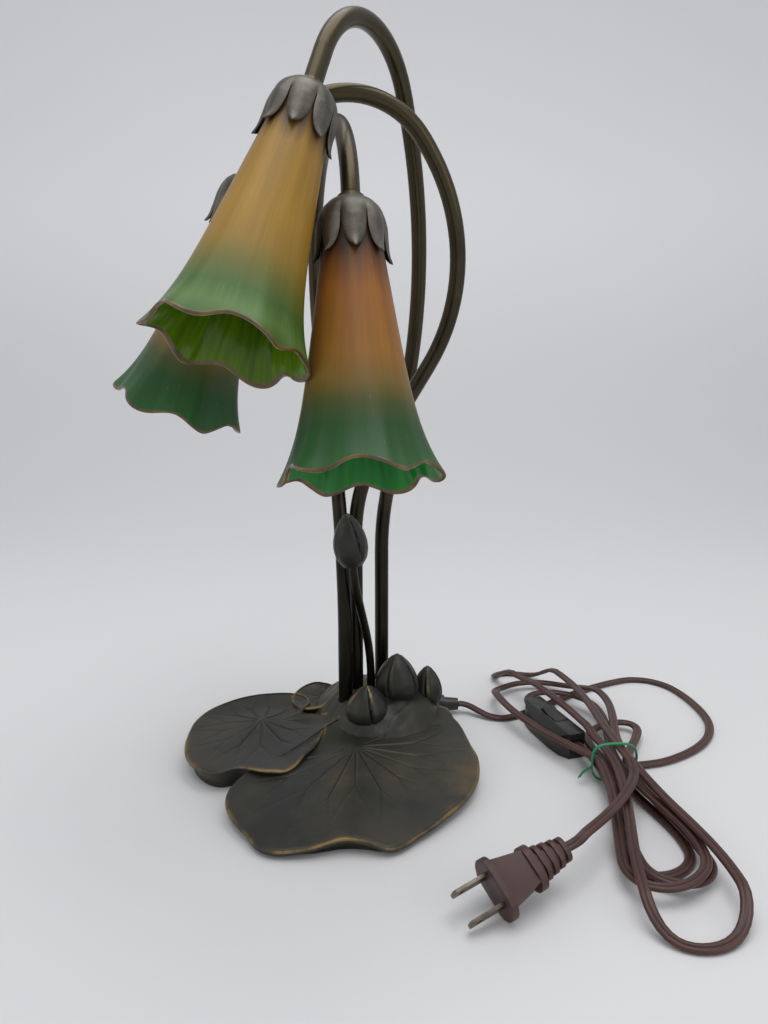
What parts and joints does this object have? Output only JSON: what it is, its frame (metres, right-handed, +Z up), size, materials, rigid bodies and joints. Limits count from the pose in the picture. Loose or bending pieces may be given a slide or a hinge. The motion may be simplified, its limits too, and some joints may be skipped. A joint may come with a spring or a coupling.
{
  "type": "tulip shade table lamp",
  "caption": "Table lamp with three arched stems rising from a lily pad base, each ending in a petal cap and a ruffled trumpet glass shade over a small bulb, with an in-line switch.",
  "frame": {"origin": "middle of the base's underside, on the table", "axes": "+Z up along the stems, -Y to the front where two of the shades hang, +X to the viewer's right where the cord lies"},
  "size_m": [0.3486, 0.273, 0.3812],
  "materials": {
    "bronze_cast": "antique bronze patina, satin",
    "bronze_tube": "antique bronze patina, satin",
    "bronze_sheet": "antique bronze patina, satin",
    "brass": "satin",
    "steel": "zinc plated",
    "fibre": "matt",
    "felt": "matt",
    "glass_orange_green": "frosted, coloured",
    "glass_gold_green": "frosted, coloured",
    "bulb_glass": "frosted",
    "socket_black": "matt",
    "wire_black": "satin",
    "joint_cap_grey": "matt",
    "cord_brown": "satin",
    "switch_black": "satin",
    "tie_green": "gloss"
  },
  "bodies": {
    "lamp": {"base_casting": "bronze_cast", "base_felt": "felt", "arm_tube_front": "bronze_tube", "arm_tube_tall": "bronze_tube", "arm_tube_back": "bronze_tube", "arm_washers": "steel", "arm_nuts": "steel", "bud_stem": "bronze_tube", "tall_bud": "bronze_cast", "lock_ring_front": "brass", "lock_ring_tall": "brass", "lock_ring_back": "brass", "petal_cap_front": "bronze_sheet", "petal_cap_tall": "bronze_sheet", "petal_cap_back": "bronze_sheet", "shade_front": "glass_orange_green", "shade_tall": "glass_gold_green", "shade_back": "glass_orange_green", "shade_washers": "fibre", "socket_front": "socket_black", "socket_tall": "socket_black", "socket_back": "socket_black", "socket_screw_shells": "brass", "socket_contacts": "brass", "bulb_front": "bulb_glass", "bulb_tall": "bulb_glass", "bulb_back": "bulb_glass", "bulb_bases": "steel", "arm_wires_front": "wire_black", "arm_wires_tall": "wire_black", "arm_wires_back": "wire_black", "wire_joint_cap": "joint_cap_grey", "cord_bushing": "switch_black", "cord_lead": "cord_brown", "cord_hank": "cord_brown", "cord_tail": "cord_brown", "cord_tie": "tie_green", "switch_bottom": "switch_black", "switch_top": "switch_black", "switch_pin": "steel", "switch_contacts": "brass", "plug_body": "cord_brown", "plug_blades": "brass"},
    "rocker": {"switch_rocker": "switch_black"}
  },
  "joints": [
    {"name": "switch_rocker_tilt", "type": "hinge", "parent": "lamp", "child": "rocker", "pos_m": [0.13575, 0.03141, 0.0114], "axis": [-0.9483, -0.3173, 0], "range_deg": [0, 16]}
  ]
}
